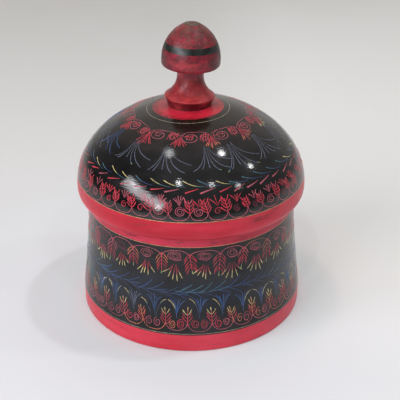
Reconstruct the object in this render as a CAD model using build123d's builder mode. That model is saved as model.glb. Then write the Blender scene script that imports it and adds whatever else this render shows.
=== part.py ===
# Spice box of lacquered wood, turned on a lathe: a hollow body that flares
# to its foot, a domed lid that drops over a spigot at the body's mouth, and
# a finial whose tenon is glued into the crown of the lid.
# Lengths in millimetres. +Z is up, and the origin is the centre of the foot.

import os
from math import cos, radians, sin, sqrt

from build123d import *

# Driving dimensions of the body's outside
base_radius = 70.0
foot_band_height = 11.6
foot_edge_round = 1.2
shoulder_width = 4.4
shoulder_height = 74.2
mouth_band_height = 5.8
side_hollow = 0.55
shoulder_edge_round = 0.6

# Driving dimensions of the body's mouth, bowl and underside
spigot_radius = 60.0
spigot_height = 6.5
spigot_wall = 3.5
spigot_lead_in = 0.8
foot_wall = 12.5
bowl_corner_round = 10.0
floor_thickness = 8.0
foot_ring_width = 11.0
foot_recess_depth = 2.0
foot_recess_round = 1.0

# Driving dimensions of the lid
lid_running_gap = 0.3
rim_wall = 10.3
rim_under_round = 4.3
lid_band_height = 14.0
dome_spring = 8.2
dome_rise = 50.1
spigot_headroom = 0.5
crown_thickness = 9.0
bore_lead_in = 0.6
crown_ring_radius = 25.0

# Driving dimensions of the finial, each height counted from the one below it
knob_lean = 2.0
seat_offset = -0.7
seat_sink = 1.4
seat_gap = 0.2
tenon_radius = 6.5
tenon_glue_gap = 0.1
tenon_end_gap = 0.4
foot_radius = 13.3
foot_wall_height = 1.6
foot_taper_height = 3.9
flange_overhang = 2.0
flange_half_lip = 0.5
flange_shoulder = 0.6
cove_rise = 12.2
neck_radius = 7.95
neck_length = 5.6
neck_top_round = 0.8
head_radius = 17.5
head_skirt = 4.7
head_lip_round = 2.4
head_ogive_radius = 23.3
head_flat_radius = 4.6
head_flat_round = 1.4

# The fine lines scored between the bands of lac
score_radius = 0.35

# Sizes that follow from the driving dimensions
spigot_top = shoulder_height + spigot_height
mouth_radius = spigot_radius - spigot_wall
shoulder_radius = spigot_radius + shoulder_width
bowl_floor_radius = base_radius - foot_wall
bowl_floor = foot_recess_depth + floor_thickness
mouth_band_foot = shoulder_height - mouth_band_height
bore_radius = spigot_radius + lid_running_gap
rim_radius = bore_radius + rim_wall
dome_foot = shoulder_height + dome_spring
crown_top = dome_foot + dome_rise
hollow_foot = spigot_top + spigot_headroom
hollow_rise = crown_top - crown_thickness - hollow_foot
seat_height = crown_top - seat_sink
tenon_length = seat_height - (hollow_foot + hollow_rise) - tenon_end_gap
flange_radius = foot_radius + flange_overhang
flange_height = foot_wall_height + foot_taper_height + flange_half_lip
cove_radius = flange_radius - flange_half_lip
cove_height = flange_height + flange_shoulder
neck_height = cove_height + cove_rise
head_under_height = neck_height + neck_length
head_wide_height = head_under_height + head_skirt
ogive_centre = head_ogive_radius - head_radius
ogive_rise = sqrt(head_ogive_radius**2 - (ogive_centre + head_flat_radius) ** 2)
head_top = head_wide_height + ogive_rise


def dome_height_at(radius):
    """Height of the lid's outside above the floor, at a distance from its axis."""
    return dome_foot + dome_rise * sqrt(1 - (radius / rim_radius) ** 2)


def dome_radius_at(height):
    """Radius of the lid's outside at a height above the floor."""
    above_spring = max(height - dome_foot, 0)
    return rim_radius * sqrt(1 - (above_spring / dome_rise) ** 2)


# The finial stands a little out of true, so its profile is drawn in a
# leaning plane. The seat in the crown is cut in the same plane.
lean = radians(knob_lean)
knob_up = Vector(sin(lean), 0, cos(lean))
knob_profile = Plane(
    origin=(seat_offset, 0, seat_height),
    x_dir=(cos(lean), 0, -sin(lean)),
    z_dir=(0, -1, 0),
)
knob_axis = Axis(knob_profile.origin, knob_up)
knob_seat = Plane(origin=knob_profile.origin, z_dir=knob_up)

# Body: one turned piece, with a straight foot band, a side hollowed by a
# hair as it narrows, a straight band below the mouth, and the spigot.
with BuildPart() as box_body:
    with BuildSketch(Plane.XZ):
        with BuildLine():
            foot_edge = (base_radius, foot_band_height)
            mouth_edge = (shoulder_radius, mouth_band_foot)
            side_middle = (
                (base_radius + shoulder_radius) / 2 - side_hollow,
                (foot_band_height + mouth_band_foot) / 2,
            )
            Polyline((0, 0), (base_radius, 0), foot_edge)
            ThreePointArc(foot_edge, side_middle, mouth_edge)
            Polyline(
                mouth_edge,
                (shoulder_radius, shoulder_height),
                (spigot_radius, shoulder_height),
                (spigot_radius, spigot_top),
                (0, spigot_top),
                (0, 0),
            )
        make_face()
    revolve(axis=Axis.Z)

    # The bowl is hollowed through the mouth and left with a coved corner
    with BuildSketch(Plane.XZ) as bowl:
        with BuildLine():
            Polyline(
                (0, bowl_floor),
                (bowl_floor_radius, bowl_floor),
                (mouth_radius, spigot_top),
                (0, spigot_top),
                close=True,
            )
        make_face()
        floor_corner = bowl.vertices().group_by(Axis.Y)[0].sort_by(Axis.X)[-1]
        fillet(floor_corner, bowl_corner_round)
    revolve(axis=Axis.Z, mode=Mode.SUBTRACT)

    # The underside is hollowed so that the box stands on a ring
    with BuildSketch(Plane.XY):
        Circle(base_radius - foot_ring_width)
    extrude(amount=foot_recess_depth, mode=Mode.SUBTRACT)
    rims = box_body.edges().filter_by(GeomType.CIRCLE)
    recess_roof = rims.filter_by(lambda e: abs(e.arc_center.Z - foot_recess_depth) < 0.01)
    fillet(recess_roof, foot_recess_round)

    # Outer foot edge, shoulder edge and the lead-in at the top of the spigot
    rims = box_body.edges().filter_by(GeomType.CIRCLE)
    fillet(rims.group_by(Axis.Z)[0].sort_by(SortBy.RADIUS)[-1], foot_edge_round)
    rims = box_body.edges().filter_by(GeomType.CIRCLE)
    shoulder_rims = rims.filter_by(lambda e: abs(e.arc_center.Z - shoulder_height) < 0.01)
    fillet(shoulder_rims.sort_by(SortBy.RADIUS)[-1], shoulder_edge_round)
    rims = box_body.edges().filter_by(GeomType.CIRCLE)
    chamfer(rims.group_by(Axis.Z)[-1].sort_by(SortBy.RADIUS)[-1], spigot_lead_in)

    with BuildSketch(Plane.XZ):
        with Locations(foot_edge, mouth_edge):
            Circle(score_radius)
    revolve(axis=Axis.Z, mode=Mode.SUBTRACT)

# Lid: a rim that overhangs the shoulder it rests on, and a dome above it.
# Inside, the bore that drops over the spigot runs on into the hollow.
with BuildPart() as lid_shell:
    with BuildSketch(Plane.XZ) as dome:
        with BuildLine():
            Polyline((0, crown_top), (0, shoulder_height), (rim_radius, shoulder_height))
            Line((rim_radius, shoulder_height), (rim_radius, dome_foot))
            EllipticalCenterArc((0, dome_foot), rim_radius, dome_rise, arc_size=90)
        make_face()
        rim_corner = dome.vertices().group_by(Axis.Y)[0].sort_by(Axis.X)[-1]
        fillet(rim_corner, rim_under_round)
    revolve(axis=Axis.Z)

    with BuildSketch(Plane.XZ):
        with BuildLine():
            hollow_top = (0, hollow_foot + hollow_rise)
            Polyline(hollow_top, (0, shoulder_height), (bore_radius, shoulder_height))
            Line((bore_radius, shoulder_height), (bore_radius, hollow_foot))
            EllipticalCenterArc((0, hollow_foot), bore_radius, hollow_rise, arc_size=90)
        make_face()
    revolve(axis=Axis.Z, mode=Mode.SUBTRACT)
    rims = lid_shell.edges().filter_by(GeomType.CIRCLE)
    chamfer(rims.group_by(Axis.Z)[0].sort_by(SortBy.RADIUS)[0], bore_lead_in)

    # A flat seat let into the crown, and the hole for the finial's tenon
    with BuildSketch(knob_seat):
        Circle(foot_radius + seat_gap)
    extrude(amount=2 * seat_sink, mode=Mode.SUBTRACT)
    with BuildSketch(knob_seat):
        Circle(tenon_radius + tenon_glue_gap)
    extrude(amount=-2 * crown_thickness, mode=Mode.SUBTRACT)

    with BuildSketch(Plane.XZ):
        band_edge = shoulder_height + lid_band_height
        ring_height = dome_height_at(crown_ring_radius)
        with Locations((dome_radius_at(band_edge), band_edge), (crown_ring_radius, ring_height)):
            Circle(score_radius)
    revolve(axis=Axis.Z, mode=Mode.SUBTRACT)

# Finial: a tenon, a foot that flares up to a thin flange, a coved neck and
# an acorn head with a nearly flat underside and a worn flat at its tip.
with BuildPart() as lid_knob:
    with BuildSketch(knob_profile) as finial:
        lip_top = (cove_radius, cove_height)
        lip_foot = (flange_radius - flange_half_lip / 2, flange_height - flange_half_lip)
        with BuildLine():
            Polyline(
                (0, -tenon_length),
                (tenon_radius, -tenon_length),
                (tenon_radius, 0),
                (foot_radius, 0),
                (foot_radius, foot_wall_height),
                lip_foot,
            )
            ThreePointArc(lip_foot, (flange_radius, flange_height), lip_top)
            TangentArc((neck_radius, neck_height), lip_top, tangent=(0, -1))
            Polyline(
                (neck_radius, neck_height),
                (neck_radius, head_under_height),
                (head_radius, head_under_height),
                (head_radius, head_wide_height),
            )
            TangentArc(
                (head_radius, head_wide_height),
                (head_flat_radius, head_top),
                tangent=(0, 1),
            )
            Polyline((head_flat_radius, head_top), (0, head_top), (0, -tenon_length))
        make_face()
        tip_edge = finial.vertices().group_by(Axis.Y)[-1].sort_by(Axis.X)[-1]
        fillet(tip_edge, head_flat_round)
        under_head = finial.vertices().filter_by(lambda v: abs(v.Y - head_under_height) < 0.01)
        fillet(under_head.sort_by(Axis.X)[-1], head_lip_round)
        under_head = finial.vertices().filter_by(lambda v: abs(v.Y - head_under_height) < 0.01)
        fillet(under_head.sort_by(Axis.X)[0], neck_top_round)
    revolve(axis=knob_axis)

box_body.part.label = "box_body"
lid_shell.part.label = "lid_shell"
lid_knob.part.label = "lid_knob"

os.makedirs("parts", exist_ok=True)
export_step(box_body.part, "parts/box_body.step")
export_step(lid_shell.part, "parts/lid_shell.step")
export_step(lid_knob.part, "parts/lid_knob.step")

lid_lift = spigot_height + seat_sink
print(f"widest {2 * max(rim_radius, base_radius):.1f} mm")
print(f"tip of the finial {seat_height + head_top * cos(lean):.1f} mm above the floor")
print(f"lid clears the spigot after {lid_lift:.1f} mm")
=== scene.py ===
# %% [markdown]
# # A turned spice box in scratched lac
#
# The box is lathe work: a hollow body, a domed lid and a finial. While each
# piece still turned, sticks of coloured lac were pressed against it, first
# the bright coats and then black over them. A stylus was then drawn through
# the black, and every stroke shows the coat that lies under it.
#
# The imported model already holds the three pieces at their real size. This
# lesson gives them a finer turned surface, their lac, and the scratched
# borders, each as a piece of its own that moves with the body or the lid.

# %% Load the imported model
import math
import random

import bpy
import numpy as np
from mathutils import Matrix, Vector


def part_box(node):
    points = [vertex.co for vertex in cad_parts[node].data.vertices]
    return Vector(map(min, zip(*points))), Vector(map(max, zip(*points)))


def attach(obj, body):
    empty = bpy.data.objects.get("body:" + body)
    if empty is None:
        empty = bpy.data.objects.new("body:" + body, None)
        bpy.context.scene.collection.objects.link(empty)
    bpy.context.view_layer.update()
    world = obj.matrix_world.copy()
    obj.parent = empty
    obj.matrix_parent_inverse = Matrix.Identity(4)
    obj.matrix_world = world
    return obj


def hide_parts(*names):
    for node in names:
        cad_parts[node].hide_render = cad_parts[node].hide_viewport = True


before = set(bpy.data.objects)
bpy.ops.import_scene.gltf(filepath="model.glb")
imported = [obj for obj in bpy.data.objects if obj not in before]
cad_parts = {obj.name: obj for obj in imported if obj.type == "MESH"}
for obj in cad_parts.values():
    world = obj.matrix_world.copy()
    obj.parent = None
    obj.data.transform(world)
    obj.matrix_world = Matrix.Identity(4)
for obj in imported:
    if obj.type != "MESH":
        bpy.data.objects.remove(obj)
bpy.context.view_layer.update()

MM = 0.001
body_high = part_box("box_body")[1]
lid_low, lid_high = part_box("lid_shell")
knob_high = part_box("lid_knob")[1]
base_radius = body_high.x / MM
spigot_top = body_high.z / MM
rim_radius = lid_high.x / MM
shoulder_height = lid_low.z / MM
print(f"base {base_radius:.1f}, rim {rim_radius:.1f}, tip {knob_high.z / MM:.1f} mm")


def added(name, data):
    """A new object in the scene, at the origin."""
    made = bpy.data.objects.new(name, data)
    bpy.context.scene.collection.objects.link(made)
    return made


# %% [markdown]
# ## The camera
#
# The photograph was taken from about 0.6 m away, looking down at the box.
# A long lens at the right distance gives the ellipses of the rim and the
# foot their true roundness, which no later fix can give. The pan is small
# and puts the axis of the box a little left of the middle.

# %% Camera
camera_back = 518.0
camera_up = 333.3
camera_down_angle = 27.29
camera_pan = -0.62

camera_data = bpy.data.cameras.new("camera")
camera_data.lens = 82.75
camera_data.sensor_width = 36.0
camera = added("camera", camera_data)
camera.location = (0, -camera_back * MM, camera_up * MM)
camera.rotation_euler = (math.radians(90 - camera_down_angle), 0, math.radians(camera_pan))
bpy.context.scene.camera = camera
print(f"camera {math.hypot(camera_back, camera_up):.0f} mm from the foot of the box")

# %% [markdown]
# ## Outlines
#
# A turned piece is known by its half section. Each section is a list of
# runs, and each run names the finish that its stretch of surface takes, so
# that a band of lac begins exactly where the turner began it. Sharp corners
# are eased with a short curve, because a lathe tool and sandpaper never
# leave them knife sharp, and a small round is what catches the light.

# %% Helpers for sections
def eased(*corners, steps=5):
    """Points through corners (radius, height, ease), each corner rounded by its ease."""
    points = []
    for i, (r, z, ease) in enumerate(corners):
        here = np.array((r, z), float)
        if ease == 0 or i in (0, len(corners) - 1):
            points.append(here)
            continue
        before = np.array(corners[i - 1][:2], float) - here
        after = np.array(corners[i + 1][:2], float) - here
        start = here + before / np.linalg.norm(before) * ease
        end = here + after / np.linalg.norm(after) * ease
        for t in np.linspace(0, 1, steps):
            points.append((1 - t) ** 2 * start + 2 * t * (1 - t) * here + t * t * end)
    return points


def divided(points, longest=1.6):
    """The same line with no stretch longer than longest, so that it shades evenly."""
    out = [np.array(points[0], float)]
    for p in points[1:]:
        p = np.array(p, float)
        parts = max(1, int(np.ceil(np.linalg.norm(p - out[-1]) / longest)))
        start = out[-1]
        out += [start + (p - start) * k / parts for k in range(1, parts + 1)]
    return out


def quarter_dome(radius, rise, foot, steps):
    """An elliptical quarter from its foot to the crown."""
    turns = np.linspace(0, math.pi / 2, steps)
    return [(radius * math.cos(a), foot + rise * math.sin(a)) for a in turns]


def cut_at(points, axis, value):
    """Splits a line where its radius (axis 0) or height (axis 1) passes a value, with a point there."""
    p = np.array(points, float)
    k = int(np.argmax((p[:, axis] > value) != (p[0, axis] > value)))
    share = (value - p[k - 1, axis]) / (p[k, axis] - p[k - 1, axis])
    edge = tuple(p[k - 1] + (p[k] - p[k - 1]) * share)
    return points[:k] + [edge], [edge] + points[k:]


# %% The body's section
foot_band = 11.6
mouth_band = 5.4
mouth_line = shoulder_height - mouth_band
shoulder_radius = 64.4
side_hollow = 0.55
foot_face_radius = base_radius - 3
spigot_radius = 60.0
lac_end_radius = spigot_radius + 1.5
mouth_radius = 56.5
bowl_top = (mouth_radius + 0.1, spigot_top - 8, 0)
bowl_floor_radius = 57.5
bowl_floor = 10.0
recess_radius = 59.0
recess_height = 2.0


def side_radius(height):
    """The body's outer radius: straight bands at both ends, a faint hollow between."""
    t = np.clip((height - foot_band) / (mouth_line - foot_band), 0, 1)
    return base_radius + (shoulder_radius - base_radius) * t - 4 * side_hollow * t * (1 - t)


def side_line(low, high, count):
    """Points up the body's outside, from one height to another."""
    return [(float(side_radius(z)), float(z)) for z in np.linspace(low, high, count)]


underside = eased(
    (0, recess_height, 0),
    (recess_radius, recess_height, 1.0),
    (recess_radius, 0, 0.4),
    (foot_face_radius, 0, 0),
)
foot = eased((foot_face_radius, 0, 0), (base_radius, 0, 1.2), (base_radius, foot_band, 0))
mouth = eased(
    (shoulder_radius, mouth_line, 0),
    (shoulder_radius, shoulder_height, 0.6),
    (lac_end_radius, shoulder_height, 0),
)
spigot = eased(
    (lac_end_radius, shoulder_height, 0),
    (spigot_radius, shoulder_height, 0.3),
    (spigot_radius, spigot_top, 0.8),
    (mouth_radius, spigot_top, 0.5),
    bowl_top,
)
bowl = eased(bowl_top, (bowl_floor_radius, bowl_floor, 9.0), (0, bowl_floor, 0), steps=12)
body_runs = [
    ("wood", divided(underside, 3)),
    ("foot_red", divided(foot)),
    ("body_black", side_line(foot_band, mouth_line, 40)),
    ("mouth_red", divided(mouth)),
    ("wood", divided(spigot)),
    ("wood", divided(bowl, 3)),
]
print("body section:", sum(len(run) for _, run in body_runs), "points")

# %% The lid's section
dome_spring = 8.2
dome_rise = 50.1
lid_band = 13.5
rim_ease = 7.0
bore_radius = 60.3
rim_foot_radius = bore_radius + 2
hollow_foot = spigot_top + 0.5
crown_thickness = 9.0
red_disc_radius = 21.6
crown_ring_radius = 25.0
hole_radius = 6.6
hole_lip_radius = hole_radius + 1
dome_foot = shoulder_height + dome_spring
crown_top = dome_foot + dome_rise
band_edge = shoulder_height + lid_band

rim = eased(
    (rim_foot_radius, shoulder_height, 0),
    (rim_radius, shoulder_height, rim_ease),
    (rim_radius, dome_foot, 0),
    steps=14,
)
dome = quarter_dome(rim_radius, dome_rise, dome_foot, 90)
rim_rest, dome_black = cut_at(dome, 1, band_edge)
dome_black, disc = cut_at(dome_black, 0, red_disc_radius)
disc = [p for p in disc if p[0] > hole_lip_radius] + [(hole_radius, crown_top - 0.6)]
hollow = quarter_dome(bore_radius, crown_top - crown_thickness - hollow_foot, hollow_foot, 56)
hollow = [p for p in hollow if p[0] > hole_lip_radius] + [(hole_radius, hollow[-1][1])]
hollow.reverse()
bore = eased(
    (bore_radius, hollow_foot, 0),
    (bore_radius, shoulder_height, 0.6),
    (rim_foot_radius, shoulder_height, 0),
)
lid_runs = [
    ("red", divided(rim) + rim_rest[1:]),
    ("lid_black", dome_black),
    ("crown_red", disc),
    ("wood", [disc[-1], hollow[0]]),
    ("wood", hollow),
    ("wood", divided(bore)),
]
print("lid section:", sum(len(run) for _, run in lid_runs), "points")

# %% The finial's section, in heights above its seat
knob_lean = 2.0
seat_offset = -0.7
seat_depth = 1.4
seat_height = crown_top - seat_depth
tenon_length = 7.2
tenon_radius = 6.5
foot_start = (12, 0, 0)
foot_radius = 13.3
flange_foot = (15.05, 5.5, 0)
neck_foot = (14.8, 6.6)
neck_radius = 7.95
neck_start = (neck_radius, 18.8)
head_radius = 17.5
head_start = (head_radius, 29.1)
head_top = 50.0
head_end = (5.0, head_top - 0.55)
black_band_low = 35.5
black_band_high = 39.1


def arc_between(start, end, tangent_angle, steps):
    """An arc that leaves start at tangent_angle (degrees, 90 is up) and meets end."""
    start, end = np.array(start, float), np.array(end, float)
    direction = math.radians(tangent_angle)
    normal = np.array((-math.sin(direction), math.cos(direction)))
    chord = end - start
    bend = chord @ chord / (2 * (chord @ normal))
    centre = start + normal * bend
    first = math.atan2(*(start - centre)[::-1])
    last = math.atan2(*(end - centre)[::-1])
    turn_by = (last - first + math.pi) % (2 * math.pi) - math.pi
    turns = first + turn_by * np.linspace(0, 1, steps)
    return [tuple(centre + abs(bend) * np.array((math.cos(a), math.sin(a)))) for a in turns]


tenon = eased((0, -tenon_length, 0), (tenon_radius, -tenon_length, 0.4), (tenon_radius, 0, 0), foot_start)
foot_turn = eased(foot_start, (foot_radius, 0, 0.3), (foot_radius + 0.05, 1.7, 0.8), flange_foot, steps=4)
flange = eased(flange_foot, (15.35, 6.05, 0.45), neck_foot + (0,), steps=6)
cove = arc_between(neck_start, neck_foot, -90, 20)[::-1]
under_head = eased(
    neck_start + (0,),
    (neck_radius, 24.4, 0.9),
    (head_radius, 24.5, 2.5),
    head_start + (0,),
    steps=9,
)
head_low, head_high = cut_at(arc_between(head_start, head_end, 90, 44), 1, black_band_low)
head_mid, head_high = cut_at(head_high, 1, black_band_high)
tip = eased(head_end + (0,), (4.3, head_top - 0.1, 0.5), (0, head_top, 0))
knob_runs = [
    ("worn", divided(tenon)),
    ("under", divided(foot_turn, 1.0)),
    ("foot", flange),
    ("foot", cove),
    ("worn", divided(under_head) + head_low[1:]),
    ("band", head_mid),
    ("worn", head_high),
    ("tip", divided(tip, 0.6)),
]
print("finial section:", sum(len(run) for _, run in knob_runs), "points")

# %% [markdown]
# ## Turning
#
# One helper turns a section round the axis, as the lathe does. It writes
# the mesh directly, ring by ring, and gives each strip of faces the finish
# of its run. A modifier could spin the section too, but then the finishes
# would need a second step, and the hole in the crown could not lean with
# the finial's tenon.

# %% Where rings lie off the axis
turning_steps = 216
disc_offset = (-1.5, -0.6)
drift_radius = 34.0
drift_width = 8.0
tiny = 1e-6
skin = 0.01


def dome_height(distance):
    """The dome's height at a distance from the lid's axis."""
    return dome_foot + dome_rise * np.sqrt(1 - (distance / rim_radius) ** 2)


def crown_drift(radius):
    """The red disc and its ring were turned a little off the lid's axis."""
    share = np.clip((drift_radius - radius) / drift_width, 0, 1)
    return disc_offset[0] * share, disc_offset[1] * share


def lid_shift(r, z):
    """The crown's hole follows the leaning tenon, and the red disc has its own centre."""
    if r <= hole_radius + tiny:
        return seat_offset + math.tan(math.radians(knob_lean)) * (z - seat_height), 0
    return crown_drift(r) if z > band_edge and z >= dome_height(r) - skin else (0, 0)


# %% Turn a section into a mesh
def meshed(name, verts, faces, *materials):
    """A smooth mesh object from points in metres and faces."""
    mesh = bpy.data.meshes.new(name)
    mesh.from_pydata(verts, [], faces)
    mesh.polygons.foreach_set("use_smooth", [True] * len(faces))
    for material in materials:
        mesh.materials.append(material)
    print(f"{name}: {len(verts)} vertices, {len(faces)} faces")
    return added(name, mesh)


def ring_points(r, z, shift):
    """The points of one ring in metres, or the one point where it meets the axis."""
    if r < tiny:
        return [(0, 0, z * MM)]
    angles = np.arange(turning_steps) * 2 * math.pi / turning_steps
    aside, ahead = shift(r, z) if shift else (0, 0)
    x, y = r * np.sin(angles) + aside, -r * np.cos(angles) + ahead
    heights = 0 * angles + z
    if ahead:
        heights += dome_height(np.hypot(x, y)) - dome_height(r)
    return [tuple(p) for p in np.stack([x, y, heights], 1) * MM]


def turned(name, runs, finishes, closed=False, shift=None):
    """A piece turned from runs of a finish and its points. shift says how far aside a ring lies."""
    names = list(dict.fromkeys(finish for finish, _ in runs))
    rings, strip_finish = [], []
    for finish, points in runs:
        for r, z in points[1:] if rings else points:
            rings.append((float(r), float(z)))
            strip_finish.append(names.index(finish))
    strip_finish = strip_finish[1:]
    if closed:
        strip_finish.append(strip_finish[-1])
    verts, ring_start = [], []
    for r, z in rings:
        ring_start.append(len(verts))
        verts += ring_points(r, z, shift)
    faces, face_finish = [], []
    for a, finish in enumerate(strip_finish):
        b = (a + 1) % len(rings)
        here, there = ring_start[a], ring_start[b]
        for k in range(turning_steps):
            n = (k + 1) % turning_steps
            if rings[a][0] < tiny:
                faces.append((here, there + n, there + k))
            elif rings[b][0] < tiny:
                faces.append((here + k, here + n, there))
            else:
                faces.append((here + k, here + n, there + n, there + k))
            face_finish.append(finish)
    piece = meshed(name, verts, faces, *(finishes[finish] for finish in names))
    piece.data.polygons.foreach_set("material_index", face_finish)
    piece.data.validate()
    return piece


# %% [markdown]
# ## Lac
#
# Lac is a glossy resin skin, thin enough to follow every tool mark. Its
# colour is even from afar, but the stick was pressed on the spinning wood,
# so it lies in faint streaks that run round the piece, and age adds dust,
# rubbed patches and fine scratches. Each finish below is one small function
# that builds its nodes: streaks from a noise that is drawn out sideways,
# turning marks from a noise read along the section, and wear from a coarser
# noise. The gloss is uneven too.

# %% Helpers for nodes
def lit(red, green, blue):
    """A colour written as it is seen, 0 to 255, as the linear light that a shader wants."""
    seen = [c / 255 for c in (red, green, blue)]
    return tuple(c / 12.92 if c < 0.04045 else ((c + 0.055) / 1.055) ** 2.4 for c in seen) + (1,)


class Nodes:
    """A node tree with a few short ways to add and join nodes."""

    def __init__(self, tree):
        self.nodes, self.links = tree.nodes, tree.links

    def feed(self, socket, value):
        """Joins a socket to another one, or sets its number or colour."""
        if isinstance(value, bpy.types.NodeSocket):
            self.links.new(value, socket)
        else:
            socket.default_value = value

    def node(self, kind, inputs, **settings):
        """A new node, with its settings set and its inputs fed."""
        made = self.nodes.new(kind)
        for key, value in settings.items():
            setattr(made, key, value)
        for key, value in inputs.items():
            self.feed(made.inputs[key], value)
        return made

    def axes(self, vector):
        """A vector's three parts."""
        return self.node("ShaderNodeSeparateXYZ", {0: vector}).outputs

    def maths(self, operation, a, b=0.0):
        return self.node("ShaderNodeMath", {0: a, 1: b}, operation=operation).outputs[0]

    def times(self, a, b):
        return self.maths("MULTIPLY", a, b)

    def plus(self, a, b):
        return self.maths("ADD", a, b)

    def between(self, value, low, high, at_low=0.0, at_high=1.0):
        """Value turned into at_low where it is low and at_high where it is high, and held beyond."""
        ends = {"From Min": low, "From Max": high, "To Min": at_low, "To Max": at_high}
        return self.node("ShaderNodeMapRange", {"Value": value, **ends}).outputs["Result"]

    def ramp(self, value, stops):
        """A colour from stops of a place between 0 and 1 and its colour."""
        made = self.node("ShaderNodeValToRGB", {"Fac": value})
        elements = made.color_ramp.elements
        for element, (place, colour) in zip(elements, (stops[0], stops[-1])):
            element.position, element.color = place, colour
        for place, colour in stops[1:-1]:
            elements.new(place).color = colour
        return made.outputs["Color"]


# %% Helpers for finishes
class Finish(Nodes):
    """A material whose patterns are read in the object's own coordinates, in metres."""

    def __init__(self, name):
        self.material = bpy.data.materials.new(name)
        self.material.use_nodes = True
        super().__init__(self.material.node_tree)
        self.shader = self.nodes["Principled BSDF"]
        self.place = self.node("ShaderNodeTexCoord", {}).outputs["Object"]

    def noise(self, scale, detail=4.0, across=1.0, along=1.0, rough=0.55):
        """A noise, with its coordinates scaled across the axis and along it."""
        scaled = self.node("ShaderNodeMapping", {"Vector": self.place, "Scale": (across, across, along)})
        inputs = {"Vector": scaled.outputs[0], "Scale": scale, "Detail": detail, "Roughness": rough}
        return self.node("ShaderNodeTexNoise", inputs).outputs["Fac"]

    def patches(self, low, high, *size, **shape):
        """Noise turned into patches: none where it is below low, full where it is above high."""
        return self.between(self.noise(*size, **shape), low, high)

    def uneven(self, least, spread, *size):
        """A number that a noise raises above its least by up to spread."""
        return self.plus(self.times(self.noise(*size), spread), least)

    def radius(self, x, y):
        """The distance from the turning axis."""
        return self.maths("SQRT", self.plus(self.maths("POWER", x, 2.0), self.maths("POWER", y, 2.0)))

    def turning_marks(self, per_metre):
        """A noise that changes only along the section, so it lies in rings."""
        x, y, z = self.axes(self.place)
        inputs = {"W": self.maths("SUBTRACT", z, self.radius(x, y)), "Scale": per_metre, "Detail": 3.0}
        return self.node("ShaderNodeTexNoise", inputs, noise_dimensions="1D").outputs["Fac"]

    def mixed(self, amount, first, second):
        """The first colour where the amount is 0, the second where it is 1."""
        inputs = {"Factor": amount, "A": first, "B": second}
        return self.node("ShaderNodeMix", inputs, data_type="RGBA").outputs["Result"]

    def over(self, colour, mask, share, shade):
        """A colour with a shade laid over it, where the mask says and as strong as the share."""
        return self.mixed(self.times(mask, share), colour, shade)

    def relief(self, *layers):
        """A normal from bumps laid on one another: each a pattern, its strength and its depth."""
        inputs = {}
        for pattern, strength, depth in layers:
            inputs.update({"Height": pattern, "Strength": strength, "Distance": depth})
            inputs["Normal"] = self.node("ShaderNodeBump", inputs).outputs["Normal"]
        return inputs["Normal"]

    def done(self, colour, roughness, normal=None, specular=0.5):
        """Feeds the shader and gives back the material."""
        self.feed(self.shader.inputs["Base Color"], colour)
        self.feed(self.shader.inputs["Roughness"], roughness)
        self.feed(self.shader.inputs["Specular IOR Level"], specular)
        if normal is not None:
            self.feed(self.shader.inputs["Normal"], normal)
        return self.material


# %% Black lac
haze_foot = (0.020, 0.034)
haze_head = (0.056, 0.044)
polished_heights = (0.122, 0.100)


def black_lac(name, dust, sheen, film_colour, haze=0.0, polish=0.0):
    """Glossy black under a thin film, with dust where it faces up, and a smoky belt or a polished rim."""
    f = Finish(name)
    height = f.axes(f.place)[2]
    f.feed(f.shader.inputs["Coat Roughness"], 0.34)
    f.feed(f.shader.inputs["Coat Weight"], f.times(f.patches(0.42, 0.66, 70, 3.0, across=0.8), 0.22))
    colour = f.mixed(f.patches(0.40, 0.72, 55, 5.0), lit(8, 7, 8), film_colour)
    colour = f.over(colour, f.patches(0.52, 0.78, 160, 4.0, across=0.12), 0.45, lit(50, 45, 45))
    if haze:
        belt = f.times(f.between(height, *haze_foot), f.between(height, *haze_head))
        colour = f.over(colour, f.times(belt, f.patches(0.30, 0.62, 45, 4.0)), haze, lit(30, 44, 66))
    facing = f.axes(f.node("ShaderNodeNewGeometry", {}).outputs["Normal"])
    upward = f.times(f.between(facing[2], 0.80, 0.99), dust)
    settled = f.times(upward, f.patches(0.2, 0.7, 90, 6.0))
    colour = f.mixed(settled, colour, lit(112, 88, 72))
    gloss = f.plus(f.uneven(0.05, 0.10, 120, 5.0), f.times(settled, 0.5))
    normal = f.relief(
        (f.turning_marks(900), 0.20, 0.00012),
        (f.noise(80, 2.0), 0.22, 0.0006),
        (f.noise(520, 4.0, across=0.6), 0.16, 0.00016),
    )
    if polish:
        sheen = f.plus(f.times(f.between(height, *polished_heights), polish), sheen)
    return f.done(colour, gloss, normal, sheen)


# %% Red lac
painted_shade_behind = (-0.012, -0.004)
fringe_heights = (0.1306, 0.1301)


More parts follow.
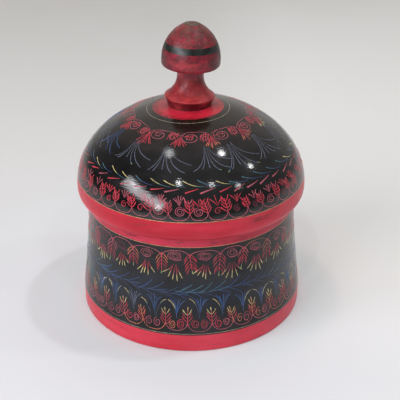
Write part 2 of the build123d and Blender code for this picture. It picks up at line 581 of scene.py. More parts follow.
def red_lac(name, wear, deep, bright, scuffed=0.5, painted_back_shade_and_fringe=False):
    """Red in streaks, rubbed pale, scuffed, worn and stained. The crown's disc also gets painted shade at its
    back and a dark fringe.
    """
    f = Finish(name)
    colour = f.mixed(f.patches(0.30, 0.75, 150, 5.0, across=0.14), deep, bright)
    colour = f.over(colour, f.patches(0.48, 0.75, 60, 5.0, across=0.4), 0.35, lit(226, 78, 100))
    scuffs = f.patches(0.60, 0.70, 240, 5.0, across=0.10, along=1.6, rough=0.7)
    colour = f.over(colour, f.times(scuffs, f.patches(0.50, 0.62, 34, 2.0)), scuffed, lit(66, 8, 16))
    colour = f.over(colour, f.patches(0.50, 0.66, 95, 6.0, rough=0.65), wear, lit(112, 12, 24))
    colour = f.over(colour, f.patches(0.64, 0.74, 210, 6.0, across=0.35, rough=0.7), 0.6, lit(72, 10, 18))
    if painted_back_shade_and_fringe:
        _, behind, height = f.axes(f.place)
        # Painted shade: the back of the crown's disc is dulled so that its front looks lit; the fringe is a
        # dark edge of the lac.
        colour = f.over(colour, f.between(behind, *painted_shade_behind), 0.55, lit(124, 62, 58))
        fringe = f.times(f.between(height, *fringe_heights), f.patches(0.32, 0.50, 300, 6.0, rough=0.65))
        colour = f.over(colour, fringe, 0.6, lit(62, 22, 24))
    normal = f.relief((f.turning_marks(800), 0.15, 0.0002), (f.noise(120, 2.0), 0.15, 0.0008))
    return f.done(colour, f.uneven(0.22, 0.24, 140, 4.0), normal, 0.38)


# %% Worn lac of the finial
def above_seat(*heights):
    """Heights in millimetres above the finial's seat, as metres above the floor."""
    return [(seat_height + height) * MM for height in heights]


bared_heights = above_seat(34, 52)
shaded_heights = above_seat(8, 16)
side_shade_distances = (0.0085, 0.0165)


def worn_lac(name, dark, bright, dirt, bared=0.0, shaded=0.0, side_shade_and_grime=0.0):
    """Mottled red lac with grime. It may be bared at the tip, shaded under the head, and given painted side
    shade with grime.
    """
    f = Finish(name)
    aside, _, height = f.axes(f.place)
    colour = f.mixed(f.patches(0.34, 0.66, 330, 7.0, across=0.6, rough=0.68), dark, bright)
    colour = f.over(colour, f.patches(0.50, 0.68, 120, 5.0, across=0.7), 0.5, lit(196, 62, 66))
    colour = f.over(colour, f.patches(0.49, 0.66, 210, 7.0, across=0.5, rough=0.72), dirt, lit(54, 26, 30))
    if bared:
        bare = f.times(f.between(height, *bared_heights), f.patches(0.44, 0.54, 320, 6.0, rough=0.72))
        colour = f.over(colour, bare, bared, lit(92, 70, 56))
    if shaded:
        colour = f.over(colour, f.between(height, *shaded_heights), shaded, lit(84, 18, 24))
    if side_shade_and_grime:
        # Painted shade with some grime: the finial's left and right sides, as seen from the front, are
        # darkened in patches.
        sides = f.between(f.maths("ABSOLUTE", aside), *side_shade_distances)
        side_shade_and_grime_mask = f.times(sides, f.patches(0.30, 0.56, 150, 5.0, rough=0.7))
        colour = f.over(colour, side_shade_and_grime_mask, side_shade_and_grime, lit(48, 26, 30))
    colour = f.over(colour, f.patches(0.69, 0.75, 900, 2.0), 0.6, lit(216, 140, 140))
    normal = f.relief((f.noise(420, 5.0), 0.4, 0.0006), (f.turning_marks(700), 0.25, 0.0003))
    return f.done(colour, f.uneven(0.20, 0.34, 200, 5.0), normal, 0.36)


# %% Black band and bare tip of the finial
def worn_black(name):
    """Worn black lac with grey showing through."""
    f = Finish(name)
    colour = f.mixed(f.patches(0.4, 0.7, 260, 5.0), lit(16, 18, 19), lit(44, 50, 46))
    return f.done(colour, f.uneven(0.20, 0.3, 200, 4.0), f.relief((f.noise(420, 4.0), 0.3, 0.0005)))


def bare_tip(name):
    """Wood bared by handling, with a little red left in it."""
    f = Finish(name)
    colour = f.mixed(f.patches(0.35, 0.65, 520, 5.0), lit(66, 56, 46), lit(112, 98, 80))
    colour = f.mixed(f.patches(0.50, 0.66, 380, 4.0), colour, lit(104, 34, 34))
    return f.done(colour, 0.62, f.relief((f.noise(900, 5.0), 0.5, 0.0006)))


# %% Bare turned wood
def turned_wood(name):
    """Bare wood with a faint upright grain and the rings of the tool."""
    f = Finish(name)
    grain = f.patches(0.3, 0.7, 60, 6.0, along=0.12, rough=0.6)
    colour = f.mixed(grain, lit(150, 106, 66), lit(192, 148, 100))
    colour = f.over(colour, f.between(f.turning_marks(500), 0.5, 0.75), 0.4, lit(116, 78, 48))
    normal = f.relief((f.turning_marks(420), 0.5, 0.0005), (f.noise(900, 4.0, along=0.2), 0.2, 0.0003))
    return f.done(colour, 0.55, normal)


# %% Make the finishes and turn the three pieces
finishes = {
    "lid_black": black_lac("lid_black_lac", 0.14, 0.36, lit(14, 12, 13), polish=0.20),
    "body_black": black_lac("body_black_lac", 0.0, 0.38, lit(24, 24, 29), haze=0.38),
    "red": red_lac("lid_red_lac", 0.12, lit(174, 10, 36), lit(210, 30, 60)),
    "mouth_red": red_lac("mouth_red_lac", 0.25, lit(168, 24, 50), lit(212, 54, 82), scuffed=0.9),
    # The foot band's red is a lighter copy of the red lac: painted light for the light that the floor throws
    # on it.
    "foot_red": red_lac("foot_red_lac", 0.10, lit(200, 36, 56), lit(226, 64, 86)),
    # The crown's red is painted lighter than the band's, as painted light on its front, with painted shade at
    # its back.
    "crown_red": red_lac("crown_red_lac", 0.5, lit(200, 24, 46), lit(232, 52, 76), painted_back_shade_and_fringe=True),
    "worn": worn_lac("worn_red_lac", lit(80, 14, 30), lit(160, 38, 56), 0.72, bared=0.8, side_shade_and_grime=0.85),
    "foot": worn_lac("rubbed_red_lac", lit(124, 24, 34), lit(192, 58, 62), 0.25, shaded=0.6),
    "under": worn_lac("shaded_red_lac", lit(60, 10, 18), lit(104, 22, 32), 0.3),
    "band": worn_black("worn_black_lac"),
    "tip": bare_tip("bare_tip"),
    "wood": turned_wood("turned_wood"),
}

body = turned("spice_box_body", body_runs, finishes)
lid = turned("spice_box_lid", lid_runs, finishes, closed=True, shift=lid_shift)
knob = turned("spice_box_finial", knob_runs, finishes)

# %% [markdown]
# The finial was turned straight and then stands a little out of true in the
# crown, as the photograph shows. Its mesh is leaned about its seat and set
# on the crown, so that its object stays at the origin like every other.

# %% Set the finial on its seat
lean = Matrix.Rotation(math.radians(knob_lean), 4, "Y")
seat = Matrix.Translation((seat_offset * MM, 0, seat_height * MM))
knob.data.transform(seat @ lean)

for piece, node, rider, slot in (
    (body, "box_body", "box", "body_lac"),
    (lid, "lid_shell", "lid", "lid_lac"),
    (knob, "lid_knob", "lid", "knob_lac"),
):
    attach(piece, rider)
    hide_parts(node)

# %% [markdown]
# ## Scratched borders
#
# The ornament is drawn by hand: loops with a curl inside, sprigs that hang
# or stand between them, sprays, fronds and a running vine. Each stroke is
# one pull of the stylus, thin where it enters, broad where it leaves. Here
# each stroke is a thin closed sliver laid into the surface, bowed a few
# hundredths of a millimetre proud of the lac, so it is real shape in any
# light and not a painted picture.
#
# A stroke is written flat, in millimetres right and up from its anchor,
# and then laid round the box. The surface it lies on is kept as radius,
# height and outward normal along the section.

# %% The two decorated surfaces
class Surface:
    """The outside of a turned piece, read by the distance along its section."""

    def __init__(self, points):
        p = np.array(points, float)
        step = np.linalg.norm(np.diff(p, axis=0), axis=1)
        self.along = np.concatenate([[0], np.cumsum(step)])
        self.r, self.z = p[:, 0], p[:, 1]
        slope = np.gradient(p, self.along, axis=0)
        slope /= np.linalg.norm(slope, axis=1)[:, None]
        self.nr, self.nz = slope[:, 1], -slope[:, 0]

    def at_height(self, z):
        """How far along the section a height lies."""
        return float(np.interp(z, self.z, self.along))

    def at_radius(self, r):
        """How far along the section a radius lies, on the dome."""
        return np.interp(r, self.r[::-1], self.along[::-1])

    def radius(self, along):
        """The radius at a distance along the section."""
        return float(np.interp(along, self.along, self.r))

    def lay(self, angle, along):
        """Points and outward normals for arrays of angle and distance."""
        r, z, nr, nz = (np.interp(along, self.along, part) for part in (self.r, self.z, self.nr, self.nz))
        sin, cos = np.sin(angle), np.cos(angle)
        return np.stack([r * sin, -r * cos, z], 1), np.stack([nr * sin, -nr * cos, nz], 1)


fine_dome = quarter_dome(rim_radius, dome_rise, dome_foot, 900)
rim_side = [(rim_radius, z) for z in np.linspace(shoulder_height + rim_ease, dome_foot, 8)[:-1]]
lid_surface = Surface(rim_side + fine_dome)
body_surface = Surface(side_line(0, shoulder_height, 600))
on_lid = (lid_surface, "lid", "lid_lac")
on_body = (body_surface, "box", "body_lac")

# %% [markdown]
# The coats under the black lie in order, and a stroke can run from one to
# the next, red into straw yellow or green into blue. So each stroke carries
# one number along its length, its place in that order, and the finish
# turns the number into a colour with one ramp.

# %% The coats and the scratched finish
coats = {
    "dark": (0.00, lit(58, 14, 22)),
    "maroon": (0.06, lit(122, 32, 56)),
    "red": (0.14, lit(224, 50, 74)),
    "rose": (0.24, lit(214, 98, 118)),
    "orange": (0.36, lit(238, 128, 88)),
    "cream": (0.43, lit(236, 178, 124)),
    "straw": (0.50, lit(240, 226, 150)),
    "leaf": (0.60, lit(150, 178, 112)),
    "teal": (0.72, lit(70, 132, 150)),
    "blue": (0.82, lit(48, 92, 158)),
    "navy": (0.90, lit(40, 66, 112)),
    "violet": (0.96, lit(104, 114, 140)),
    "bone": (1.00, lit(184, 176, 148)),
}


def scratched(name, fading, ground):
    """The coat that each point of a stroke names, faded here and there into the ground."""
    f = Finish(name)
    coat = f.node("ShaderNodeAttribute", {}, attribute_name="coat").outputs["Fac"]
    colour = f.over(f.ramp(coat, list(coats.values())), f.patches(0.35, 0.65, 70, 2.0), fading, ground)
    colour = f.over(colour, f.patches(0.48, 0.62, 700, 3.0, rough=0.6), 0.5, ground)
    return f.done(colour, 0.42)


scratch_finishes = {
    "lid": scratched("lid_scratched_coats", 0.25, lit(46, 40, 44)),
    "box": scratched("body_scratched_coats", 0.42, lit(48, 48, 52)),
}

# %% Strokes
crest = 0.035
sunk_edge = 0.03
sliver_depth = 0.16
tip_in = 0.04
tip_out = 0.025
turn_length = 0.24
hand = random.Random(26)


def sliver_corners(place, normal, side, half):
    """The corners of a stroke's section at each place: left, top, right and deep."""
    aside, sunk = side * half[:, None], normal * sunk_edge
    return place - aside - sunk, place + normal * crest, place + aside - sunk, place - normal * sliver_depth


class Border:
    """One row of ornament: strokes gathered into a single mesh."""

    def __init__(self, name, surface, rider, slot, steps=10):
        self.name, self.surface, self.rider, self.slot = name, surface, rider, slot
        self.steps = steps
        self.verts, self.faces, self.coat = [], [], []

    def anchor(self, angle, along, size=1.0, tilt=0.0):
        """Sets where the next strokes are drawn: degrees round from the front, and height."""
        self.angle0, self.along0 = math.radians(angle), along
        self.size, self.tilt = size, math.radians(tilt)

    def stroke(self, points, width, coat, swell=0.75, ends=(0.25, 0.8), steps=None):
        """Draws a smooth line by control points, widest at swell, with each end a share of that."""
        t = np.linspace(0, 1, steps or self.steps)
        t = np.concatenate([[0, tip_in], t[1:-1], [1 - tip_out, 1]])
        flat = bent(np.array(points, float), t) * self.size
        c, s = math.cos(self.tilt), math.sin(self.tilt)
        u, v = flat[:, 0] * c - flat[:, 1] * s, flat[:, 0] * s + flat[:, 1] * c
        angle = self.angle0 + u / self.surface.radius(self.along0)
        place, normal = self.surface.lay(angle, self.along0 + v)
        rise = np.interp(t, [0, swell, 1], [ends[0], 1.0, ends[1]])
        pointed = np.sqrt(np.clip(np.minimum(t / tip_in, (1 - t) / tip_out), 0, 1))
        side = np.cross(normal, np.gradient(place, axis=0))
        side /= np.maximum(np.linalg.norm(side, axis=1), 1e-9)[:, None]
        self.sliver(place, normal, side, 0.5 * width * rise * pointed, coat_along(coat, t))

    def sliver(self, place, normal, side, half, coat):
        """A closed sliver, four-sided between its two points."""
        corners = sliver_corners(place, normal, side, half)
        first, last = len(self.verts), len(place) - 1
        self.verts.append(place[0])
        self.coat.append(coat[0])
        for k in range(1, last):
            self.verts += [corner[k] for corner in corners]
            self.coat += [coat[k]] * 4
        self.verts.append(place[-1])
        self.coat.append(coat[-1])
        starts = range(first + 1, len(self.verts) - 1, 4)
        for q in range(4):
            n = (q + 1) % 4
            self.faces.append((first, starts[0] + q, starts[0] + n))
            for here, there in zip(starts, starts[1:]):
                self.faces.append((here + q, there + q, there + n, here + n))
            self.faces.append((starts[-1] + q, len(self.verts) - 1, starts[-1] + n))

    def build(self):
        """Makes the row's piece, which rides on its body."""
        verts = [tuple(p * MM) for p in self.verts]
        piece = meshed(self.name, verts, self.faces, scratch_finishes[self.rider])
        values = piece.data.attributes.new("coat", "FLOAT", "POINT")
        values.data.foreach_set("value", self.coat)
        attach(piece, self.rider)


def bent(points, t):
    """A Bezier curve for 2 to 4 points, and a smooth line through more."""
    n = len(points) - 1
    if n <= 3:
        weights = [math.comb(n, k) * t**k * (1 - t) ** (n - k) for k in range(n + 1)]
        return sum(w[:, None] * p for w, p in zip(weights, points))
    at = t * n
    k = np.clip(at.astype(int), 0, n - 1)
    f = (at - k)[:, None]
    p = np.concatenate([[2 * points[0] - points[1]], points, [2 * points[-1] - points[-2]]])
    a, b, c, d = p[k], p[k + 1], p[k + 2], p[k + 3]
    return 0.5 * (2 * b + (c - a) * f + (2 * a - 5 * b + 4 * c - d) * f**2 + (3 * b - a - 3 * c + d) * f**3)


def coat_along(coat, t):
    """A coat's place for each t: one name, or (first, second, where it turns)."""
    if isinstance(coat, str):
        return np.full(len(t), coats[coat][0])
    first, second = coats[coat[0]][0], coats[coat[1]][0]
    share = np.clip((t - coat[2] + turn_length / 2) / turn_length, 0, 1)
    share = share * share * (3 - 2 * share)
    return first + (second - first) * share


def near(value, spread):
    """A value that the hand misses by up to spread."""
    return value + hand.uniform(-spread, spread)



# %% [markdown]
# ## The motifs
#
# A few small figures make the whole ornament, as they did for the hand that
# drew it: a loop, a curl, a feather, a row of petals and a fan. Each function
# draws one figure at the anchor, with a little uneven hand.

# %% Motif functions
def loop(border, width, depth, coat, line=0.6):
    """A hanging loop, from one junction down and up to the next (or an arch if depth < 0)."""
    half = width / 2
    left = [(-half, 0), (-0.88 * half, -0.55 * depth), (-0.48 * half, -0.95 * depth)]
    right = [(0.44 * half, -0.97 * depth), (0.86 * half, -0.57 * depth), (half, 0)]
    border.stroke(left + [(near(0, 0.4), near(-depth, 0.2))] + right, line, coat, swell=0.5, ends=(0.7, 0.8))


def curl(border, centre, across, up, turns, coat, line=0.5, start=90):
    """A spiral that winds in from its outer turn."""
    count = max(8, int(turns * 9))
    points = []
    for k in range(count + 1):
        share = k / count
        angle = math.radians(start) + turns * 2 * math.pi * share
        shrink = 1 - 0.82 * share
        u, v = across * shrink * math.cos(angle), up * shrink * math.sin(angle)
        points.append((centre[0] + u, centre[1] + v))
    border.stroke(points, line, coat, swell=0.4, ends=(0.7, 0.5), steps=4 * count)


def feather(border, length, reach, shades, up=1, line=0.6, lean=0.2, short_side=0.7, tip_coat=None):
    """A leaning stem with one pair of leaves for each shade, standing (up=1) or hanging (up=-1)."""
    def stem(share):
        return np.array((-lean * length * share * share, up * length * share))

    border.stroke([stem(0), stem(0.45), stem(0.86)], line, shades[len(shades) // 2], ends=(0.6, 0.8))
    for k, shade in enumerate(shades):
        share = (k + near(0.25, 0.12)) / len(shades)
        root = stem(0.78 * share)
        for side, size in ((-1, 1.0), (1, short_side)):
            out = side * size * near(reach * (1 - 0.3 * share), 0.35)
            tip = root + (out, up * near(length * 0.24 + 0.3 * reach, 0.4))
            bend = root + (0.55 * out, up * length * 0.06)
            border.stroke([root, bend, tip], near(line, 0.1), shade, ends=(0.4, 0.75))
    if tip_coat:
        border.stroke([stem(0.80), stem(near(1.04, 0.05))], line * 1.4, tip_coat)


def petals(border, centre, across, up, count, coat, line=0.7):
    """Short bowed strokes that lean in a row, like the petals of a bud."""
    for k in range(count):
        u = centre[0] + across * (2 * (k + 0.5) / count - 1)
        low = (u - 0.6, centre[1] - near(0.75, 0.2) * up)
        high = (u + 0.8, centre[1] + near(0.75, 0.2) * up)
        border.stroke([low, (u - 0.9, centre[1] + 0.2 * up), high], near(line, 0.1), coat)


def fan(border, length, spread, count, coat, up=1, line=0.6, curve=0.3):
    """Strokes that open from one root."""
    for k in range(count):
        side = 2 * k / (count - 1) - 1 + hand.uniform(-0.12, 0.12)
        reach = length * hand.uniform(0.78, 1.06) * (1 - 0.16 * side * side)
        tip = (side * spread, up * reach)
        bend = (side * spread * curve, up * reach * 0.55)
        border.stroke([(side * 0.25, near(0, 0.3)), bend, tip], near(line, 0.1), coat)


def spread_round(count, wander=0.0, first=0.0):
    """Angles in degrees for count figures round the box, each a little off its place."""
    step = 360 / count
    return [first + step * k + hand.uniform(-wander, wander) * step for k in range(count)]


def spans(angles, surface, along):
    """For each pair of neighbouring junctions: its angle, and how many millimetres it spans."""
    for here, onward in zip(angles, angles[1:] + [angles[0] + 360]):
        yield (here + onward) / 2, math.radians(onward - here) * surface.radius(along)


# %% [markdown]
# ## Borders of the lid
#
# From the rim up: hanging loops with curls, leaning feathers on their
# junctions and small fans between; a running vine of paired strokes; long
# fronds; and a ring of arches with curls and hanging fans round the crown.

# %% Lid: loops, feathers and fans above the red band
lid_loop_count = 38
loops = Border("lid_loops", *on_lid, steps=12)
tufts = Border("lid_tufts", *on_lid)
lid_junctions = spread_round(lid_loop_count, 0.11, first=-1.0)
junction_along = lid_surface.at_height(93.4)
loop_depth = junction_along - lid_surface.at_height(89.0)
for angle, width in spans(lid_junctions, lid_surface, junction_along):
    loops.anchor(angle, junction_along, tilt=near(0, 3))
    loop(loops, width, near(loop_depth, 0.3), "rose", line=near(0.55, 0.1))
    kind = hand.random()
    middle = (near(0, 0.6), near(0.3, 0.4))
    if kind < 0.4:
        across, up, turns = near(3.3, 0.4), near(2.9, 0.3), near(2.0, 0.3)
        curl(loops, middle, across, up, turns, "rose", line=0.55, start=near(60, 50))
    elif kind < 0.7:
        across, up, turns = near(2.2, 0.3), near(2.0, 0.2), near(1.5, 0.3)
        curl(loops, middle, across, up, turns, "red", line=0.6, start=near(60, 50))
    else:
        curl(loops, middle, near(2.6, 0.3), near(2.5, 0.3), 1.2, "maroon", line=0.6, start=near(90, 40))
        curl(loops, middle, near(1.3, 0.3), near(1.4, 0.3), 1.1, "maroon", line=0.5, start=near(90, 40))
    tufts.anchor(angle, junction_along + near(3.7, 0.5), tilt=near(2, 9))
    length, spread = near(5.4, 0.8), near(3.2, 0.6)
    fan(tufts, length, spread, hand.choice([3, 4, 4, 5]), hand.choice(["rose", "rose", "red"]), line=0.7)
for angle in lid_junctions:
    tufts.anchor(angle, junction_along - 0.6, near(1, 0.1), tilt=near(4, 7))
    length, reach = near(8.4, 0.8), near(3.4, 0.4)
    feather(tufts, length, reach, ["red"] * 3 + [hand.choice(["red", "rose"])], line=0.84)
loops.build()
tufts.build()

# %% Lid: the running vine
vine_count = 42
vine_along = lid_surface.at_height(106.0)
vine = Border("lid_vine", *on_lid, steps=9)
for angle in spread_round(vine_count, 0.14):
    vine.anchor(angle, vine_along + near(0, 0.4), near(1, 0.12), near(0, 5))
    upper = ("straw", "teal", near(0.62, 0.1)) if hand.random() < 0.68 else ("teal", "blue", 0.45)
    rise = near(3.3, 0.5)
    stem = [(-6.4, rise), (-3.0, 0.42 * rise), (0.6, 0.0), (6.8, 0.1)]
    vine.stroke(stem, 0.72, upper, swell=0.12, ends=(0.85, 0.3))
    lower = "rose" if hand.random() < 0.75 else "red"
    leaf = [(-4.7, near(-3.9, 0.5)), (-1.2, -2.7), (3.4, -1.1)]
    vine.stroke(leaf, near(1.25, 0.15), lower, swell=0.1, ends=(0.95, 0.22))
vine.build()

# %% Lid: fronds
frond_count = 15
frond_tips = ((-5.8, -17.4), (-3.4, -17.0), (1.2, -15.4), (5.4, -17.8), (10.4, -17.0), (13.0, -11.6))
frond_along = lid_surface.at_height(122.4)
fronds = Border("lid_fronds", *on_lid, steps=12)
for angle in spread_round(frond_count, 0.16, first=8):
    fronds.anchor(angle, frond_along, near(1, 0.08), near(0, 5))
    shade = "blue" if math.sin(math.radians(angle)) < -0.5 and hand.random() < 0.7 else "violet"
    for tip_u, tip_v in frond_tips:
        root = (0.14 * tip_u + near(0, 0.4), near(-0.5, 0.8))
        hang = (0.16 * tip_u, 0.5 * tip_v)
        swing = (0.45 * tip_u, 0.86 * tip_v)
        tip = (near(tip_u, 0.9), near(tip_v, 1.0))
        ending = (shade, "straw", 0.9) if hand.random() < 0.12 else shade
        fronds.stroke([root, hang, swing, tip], near(0.7, 0.1), ending)
fronds.build()

# %% Lid: arches, curls and fans round the crown
crown_count = 12
crown = Border("lid_crown_scrolls", *on_lid, steps=12)
crown_along = lid_surface.at_height(125.2)
crown_junctions = spread_round(crown_count, 0.07, first=-10.5)
for angle, width in spans(crown_junctions, lid_surface, crown_along):
    crown.anchor(angle, crown_along, 1, near(0, 6))
    loop(crown, width, near(-3.6, 0.5), "rose", line=0.55)
    large = (-0.17 * width, near(-0.7, 0.4))
    curl(crown, large, near(5.2, 0.4), 4.3, near(1.9, 0.3), "rose", start=near(120, 50), line=0.6)
    small = (0.29 * width, near(-0.8, 0.4))
    curl(crown, small, near(2.7, 0.4), 3.2, near(1.3, 0.3), "rose", start=near(20, 50), line=0.6)
    petals(crown, small, 3.0, 4.4, 4, "red", line=0.9)
    petals(crown, large, 2.0, 2.6, hand.choice([2, 3]), hand.choice(["red", "maroon"]), line=0.8)
for angle in crown_junctions:
    crown.anchor(angle, crown_along - 0.2, near(1, 0.1), near(0, 12))
    tipped = "red"
    if hand.random() < 0.6:
        tipped = ("red", hand.choice(["orange", "orange", "straw"]), near(0.7, 0.1))
    fan(crown, near(9.0, 0.7), near(4.4, 0.6), 7, tipped, up=-1, line=0.8, curve=0.5)
    crown.stroke([(0.2, -0.4), (2.6, 0.9), (5.0, 0.8)], 0.7, "red")
crown.build()

# %% [markdown]
# ## Borders of the body
#
# From the shoulder down: arches with curls, hanging feathers and straw-tipped
# sprays; a dark vine; blue fans under straw arcs; and standing feathers
# between loops with curls, just above the red foot.

# %% Body: arches, hanging feathers and sprays
arch_count = 24
arches = Border("body_arches", *on_body, steps=12)
sprays = Border("body_sprays", *on_body)
arch_along = body_surface.at_height(62.3)
spray_along = body_surface.at_height(57.6)
spray_tips = ((-6.2, -7.0), (-4.0, -9.0), (-0.8, -9.6), (2.2, -9.4), (5.0, -7.4))
hanging = [
    ["orange", "orange", "red", "red", "maroon"],
    ["red"] * 5,
    ["rose", "rose", "red", "red", "maroon"],
]
arch_junctions = spread_round(arch_count, 0.07, first=-0.9)
for angle, width in spans(arch_junctions, body_surface, arch_along):
    arches.anchor(angle, arch_along, 1, near(0, 3))
    loop(arches, width, near(-4.4, 0.4), hand.choice(["rose", "rose", "red", "orange"]), line=near(0.6, 0.1))
    shade = hand.choice(["rose", "rose", "maroon"])
    middle = (near(0, 0.8), near(0.4, 0.3))
    curl(arches, middle, near(4.3, 0.5), near(3.0, 0.3), near(2.4, 0.4), shade, start=near(40, 60), line=0.55)
    arches.stroke([(near(-2, 1), -1.8), (0, -2.9), (near(3, 1), -1.2)], 0.5, shade)
    sprays.anchor(angle, spray_along + near(0, 0.6), near(1, 0.1), near(0, 9))
    for tip_u, tip_v in spray_tips:
        tip = (near(tip_u, 0.9), near(tip_v, 1.0))
        root = (tip_u * 0.22 + near(0, 0.5), near(-0.6, 0.9))
        middle = (tip_u * near(0.42, 0.15), tip_v * 0.5)
        sprays.stroke([root, middle, tip], near(0.74, 0.12), ("red", "straw", near(0.56, 0.08)))
for angle in arch_junctions:
    sprays.anchor(angle, arch_along + 2.6, near(1, 0.08), near(0, 8))
    shades = hand.choice(hanging)
    length, reach, bow = near(14.2, 1), near(3.9, 0.3), near(0, 0.06)
    feather(sprays, length, reach, shades, up=-1, line=0.7, lean=bow, short_side=1, tip_coat="leaf")
arches.build()
sprays.build()

# %% Body: the dark vine
body_vine_count = 30
body_vine_along = body_surface.at_height(39.2)
body_vine_leaves = ((-6.0, 2.6, 5.0), (-1.0, 8.4, 4.2), (-5.5, 4.0, -4.2), (0.5, 9.6, -3.4))
body_vine = Border("body_vine", *on_body, steps=9)
for angle in spread_round(body_vine_count, 0.25):
    drop = 1.6 * math.sin(math.radians(2.5 * angle + 40))
    body_vine.anchor(angle, body_vine_along + drop + near(0, 0.6), near(1.1, 0.15), near(0, 5))
    shade = hand.choice(["navy", "violet", "blue", "teal"])
    body_vine.stroke([(-9.5, 1.0), (0.0, -1.0), (10.0, 0.6)], 0.6, shade)
    body_vine.stroke([(-7.0, -0.6), (0.0, 0.8), (9.0, -0.8)], 0.5, "navy")
    for root_u, tip_u, tip_v in body_vine_leaves:
        tip = (near(tip_u, 1.2), near(tip_v, 1.0))
        bend = ((root_u + tip_u) * 0.55, tip_v * 0.12)
        leaf_shade = shade if tip_v > 0 else "navy"
        body_vine.stroke([(root_u, 0.0), bend, tip], near(0.62, 0.15), leaf_shade, swell=0.5)
body_vine.build()

# %% Body: blue fans, standing feathers and straw arcs over them
foot_loop_count = 31
fans = Border("body_fans", *on_body)
sprigs = Border("body_sprigs", *on_body)
foot_loops = Border("body_foot_loops", *on_body, steps=12)
foot_along = body_surface.at_height(20.0)
foot_junctions = spread_round(foot_loop_count, 0.08, first=-1.8)
for angle, width in spans(foot_junctions, body_surface, foot_along):
    fans.anchor(angle, foot_along + near(6.6, 0.5), near(1, 0.08), near(0, 6))
    shade = hand.choice(["blue", "blue", "teal", "violet"])
    for side in (-1, 1):
        lip = (side * near(4.6, 0.5), near(9.2, 0.6))
        outer = [(side * 0.5, 0.0), (side * 0.8, 4.0), (side * 1.7, 7.4), lip]
        fans.stroke(outer, near(0.85, 0.1), shade, ends=(0.5, 0.6))
        inner = [(side * 0.2, 1.0), (side * 0.6, 5.5), (side * near(2.1, 0.4), near(9.4, 0.6))]
        fans.stroke(inner, near(0.7, 0.1), hand.choice([shade, "navy"]))
    fans.stroke([(0.0, -3.6), (near(0.1, 0.2), 2.0), (near(0.0, 0.4), near(9.8, 0.6))], near(0.8, 0.1), shade)
    foot_loops.anchor(angle, foot_along, 1, near(0, 3))
    loop(foot_loops, width, near(5.5, 0.4), hand.choice(["rose", "orange"]), line=near(0.62, 0.1))
    first, second = hand.choice(["red", "rose", "orange"]), hand.choice(["rose", "red"])
    for middle, shade in ((-2.7, first), (2.1, second)):
        centre = (near(middle, 0.5), near(-1.0, 0.4))
        across, up, turns = near(2.2, 0.3), near(3.2, 0.3), near(1.7, 0.4)
        curl(foot_loops, centre, across, up, turns, shade, start=near(80, 50), line=0.62)
for angle in foot_junctions:
    sprigs.anchor(angle, foot_along - 2.6, near(1, 0.1), near(3, 7))
    top = hand.choice(["straw", "straw", "orange"])
    shades = [hand.choice(["maroon", "red"]), "red", hand.choice(["red", "orange"]), top]
    tip = hand.choice(["straw", "cream", "cream"])
    length, reach, bow = near(11.6, 0.8), near(3.3, 0.4), near(0.05, 0.1)
    feather(sprigs, length, reach, shades, line=0.72, lean=bow, short_side=0.9, tip_coat=tip)
    for side in (-1, 1):
        if hand.random() < (0.9 if side > 0 else 0.65):
            top_point = (side * near(0.8, 0.9), near(17.0, 0.6))
            arc = [top_point, (side * 4.4, 16.4), (side * near(6.2, 0.4), 10.4), (side * 6.4, near(5.0, 1.2))]
            line, coat = near(0.62, 0.08), ("straw", "violet", near(0.52, 0.15))
            sprigs.stroke(arc, line, coat, swell=0.3, ends=(0.8, 0.3))
fans.build()
sprigs.build()
foot_loops.build()

# %% [markdown]
# ## Wear
#
# Keys, rings and years of lifting have scratched through the red bands too.
# These scuffs are dark, thin and nearly level, and they lie in a few places.

# %% Scuffs on the red bands
def scuffs(border, angle, along, count, spread, length):
    """A cluster of thin dark scratches, nearly level, round one place."""
    for _ in range(count):
        border.anchor(angle + hand.uniform(-1, 1) * spread, along + hand.uniform(-1, 1) * 1.6, 1, near(2, 6))
        half = near(0.5, 0.25) * length
        scratch = [(-half, near(0, 0.3)), (0, near(0, 0.2)), (half, near(0.2, 0.3))]
        border.stroke(scratch, near(0.46, 0.12), "dark")


rim_places = ((35, 84.5, 12), (43, 86, 5), (-23, 83, 4), (118, 84, 6), (205, 84, 5), (-70, 85, 3))
mouth_places = ((14, 71, 7), (24, 70.5, 5), (-9, 71, 4), (-30, 70, 3), (150, 71, 6), (250, 71, 5))
foot_places = ((38, 5), (29, 8.5), (-12, 2.4), (3, 2.0), (-38, 6), (60, 4), (140, 5), (215, 4))

lid_scuffs = Border("lid_scuffs", *on_lid, steps=6)
for angle, height, count in rim_places:
    scuffs(lid_scuffs, angle, lid_surface.at_height(height), count, 5, 5.0)
lid_scuffs.build()
body_scuffs = Border("body_scuffs", *on_body, steps=6)
for angle, height, count in mouth_places:
    scuffs(body_scuffs, angle, body_surface.at_height(height), count, 5, 4.5)
for angle, height in foot_places:
    scuffs(body_scuffs, angle, body_surface.at_height(height), 2, 0.8, 1.3)
body_scuffs.build()

# %% [markdown]
# ## Border lines
#
# With the piece turning, the point of the tool was held still where two
# colours meet, and it cut a fine pale ring right round. These are laid as
# thin closed hoops, one for each border.

# %% Border lines
line_width = 0.5
line_steps = 240


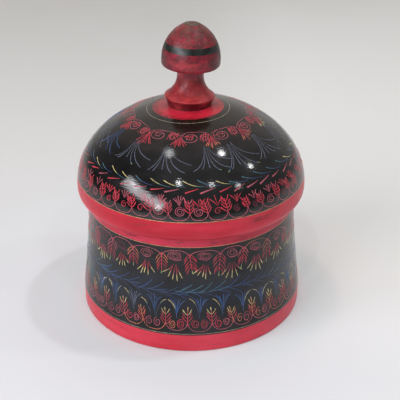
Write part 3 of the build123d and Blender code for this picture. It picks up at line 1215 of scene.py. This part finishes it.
def border_line(name, place_on, along, coat, centre=None):
    """A wavering hoop at a distance along the section, or round a centre of its own."""
    line = Border(name, *place_on)
    angle = np.linspace(0, 2 * math.pi, line_steps, endpoint=False)
    wavering = along + 0.05 * np.sin(3 * angle) + 0.04 * np.sin(7 * angle + 1)
    if centre:
        radius = line.surface.radius(along)
        x, y = radius * np.sin(angle) + centre[0], centre[1] - radius * np.cos(angle)
        angle, wavering = np.arctan2(x, -y), line.surface.at_radius(np.hypot(x, y))
    place, normal = line.surface.lay(angle, wavering)
    up = np.cross(normal, np.gradient(place, axis=0))
    up /= np.linalg.norm(up, axis=1)[:, None]
    corners = sliver_corners(place, normal, up, np.full(line_steps, line_width / 2))
    line.verts = [corner[k] for k in range(line_steps) for corner in corners]
    line.coat = [coats[coat][0]] * len(line.verts)
    for k in range(line_steps):
        n = (k + 1) % line_steps
        for q in range(4):
            line.faces.append((4 * k + q, 4 * n + q, 4 * n + (q + 1) % 4, 4 * k + (q + 1) % 4))
    line.build()


ring_along = lid_surface.at_height(dome_height(crown_ring_radius))
border_line("lid_band_line", on_lid, lid_surface.at_height(band_edge + 0.2), "cream")
border_line("lid_crown_line", on_lid, ring_along, "bone", disc_offset)
border_line("body_mouth_line", on_body, body_surface.at_height(mouth_line - 0.2), "cream")
border_line("body_foot_line", on_body, body_surface.at_height(foot_band + 0.8), "bone")

# %% [markdown]
# ## Floor and light
#
# The box stands on plain pale paper. Painted shade greys it towards the back,
# and painted light pales it round the box and to its right, over the shade
# there. The room and a broad window lamp at the left give most of the light.
# Two lamps overhead and four small ones, far off, give the black lac its
# bright points, and a pane and a gap break up the window's reflection.

# %% Floor
def paper(name):
    """Pale paper with painted shade towards the back and painted light round the box and to its right."""
    f = Finish(name)
    aside, behind, _ = f.axes(f.place)
    # Painted shade: the paper greys towards the back and a little to the left, where less light falls.
    far = f.between(f.maths("SUBTRACT", behind, f.times(aside, 0.25)), -0.25, 0.75)
    shades = [(0, lit(250, 251, 253)), (0.10, lit(245, 246, 249)), (0.24, lit(233, 235, 239))]
    shades += [(0.49, lit(229, 229, 228)), (1, lit(210, 209, 205))]
    colour = f.over(f.ramp(far, shades), f.patches(0.3, 0.7, 9, 3.0), 0.25, lit(224, 225, 227))
    from_axis = f.radius(aside, behind)
    # Painted light: the paper is paler round the box, over the shade that falls there.
    colour = f.over(colour, f.between(from_axis, 0.20, 0.08), 0.8, lit(238, 241, 245))
    # Painted light: the paper is paler to the right of the box, over the shadow that falls there.
    near_enough = f.times(f.between(behind, -0.10, 0.02), f.between(behind, 1.00, -0.05))
    painted_light_right = f.times(f.between(aside, 0.0, 0.11), near_enough)
    colour = f.over(colour, painted_light_right, 0.9, lit(253, 253, 251))
    # Painted light: a cool tint next to the foot cancels the red light bounced off the foot band.
    colour = f.mixed(f.between(from_axis, 0.100, 0.071), colour, lit(232, 248, 250))
    return f.done(colour, 0.9)


reach = 3.0
corners = [(-reach, -reach, 0), (reach, -reach, 0), (reach, reach, 0), (-reach, reach, 0)]
floor = meshed("floor", corners, [(0, 1, 2, 3)], paper("floor_paper"))

# %% Lamps
lamp_target = Vector((0, 0, 0.11))
largest_round_lamp = 0.25


def lamp(name, azimuth, elevation, distance, width, height, radiance, colour=(1, 1, 1), turn=0):
    """A lamp facing the lid, placed by its direction: degrees round from the front, and up."""
    data = bpy.data.lights.new(name, "AREA")
    data.shape = "ELLIPSE" if max(width, height) < largest_round_lamp else "RECTANGLE"
    data.size = width
    data.size_y = height
    data.energy = radiance * math.pi * width * height
    data.color = colour
    a, e = math.radians(azimuth), math.radians(elevation)
    toward = Vector((math.sin(a) * math.cos(e), -math.cos(a) * math.cos(e), math.sin(e)))
    made = added(name, data)
    made.location = lamp_target + toward * distance
    made.rotation_mode = "QUATERNION"
    rolled = Matrix.Rotation(math.radians(turn), 4, "Z").to_quaternion()
    made.rotation_quaternion = toward.to_track_quat("Z", "Y") @ rolled


lamp("ceiling_lamp_right", 97, 69, 1.5, 0.11, 0.08, 95)
lamp("ceiling_lamp_left", -94, 75, 1.5, 0.20, 0.14, 13)
lamp("small_lamp_front_left", -17, 52, 3.0, 0.08, 0.12, 150)
lamp("small_lamp_front_right", 27, 48, 3.0, 0.08, 0.09, 170)
lamp("small_lamp_right_high", 89, 44, 3.0, 0.10, 0.12, 120)
lamp("small_lamp_right_low", 55, 35, 3.0, 0.07, 0.07, 120)
lamp("window_left", -51, 24, 2.0, 1.90, 0.45, 8.2, (0.98, 0.95, 1.0), turn=-20)
lamp("window_left_pane", -66, 31, 1.9, 0.40, 0.13, 11, turn=-20)
lamp("window_left_gap", -31, 10.5, 1.9, 0.14, 0.16, 26, turn=-20)

# %% Room light
# The room is darker towards the viewer and at both sides than overhead and behind.
room = bpy.data.worlds.new("room")
room.use_nodes = True
walls = Nodes(room.node_tree)
background = walls.nodes["Background"]
aside, behind, up = walls.axes(walls.node("ShaderNodeTexCoord", {}).outputs["Generated"])
back_and_up = walls.plus(walls.plus(walls.times(behind, 0.43), walls.times(up, 0.26)), 0.5)
shades = [(0.05, (0.27, 0.27, 0.28, 1)), (0.36, (0.44, 0.44, 0.45, 1))]
shades += [(0.76, (0.80, 0.79, 0.78, 1)), (0.95, (0.84, 0.80, 0.76, 1))]
walls.feed(background.inputs["Color"], walls.ramp(back_and_up, shades))
strength = 0.81
for begin, end, dimmed in ((-0.30, -0.90, 0.14), (0.36, 0.95, 0.44)):
    strength = walls.times(walls.between(aside, begin, end, 1.0, dimmed), strength)
walls.feed(background.inputs["Strength"], strength)
bpy.context.scene.world = room
bpy.context.scene.view_settings.view_transform = "Standard"
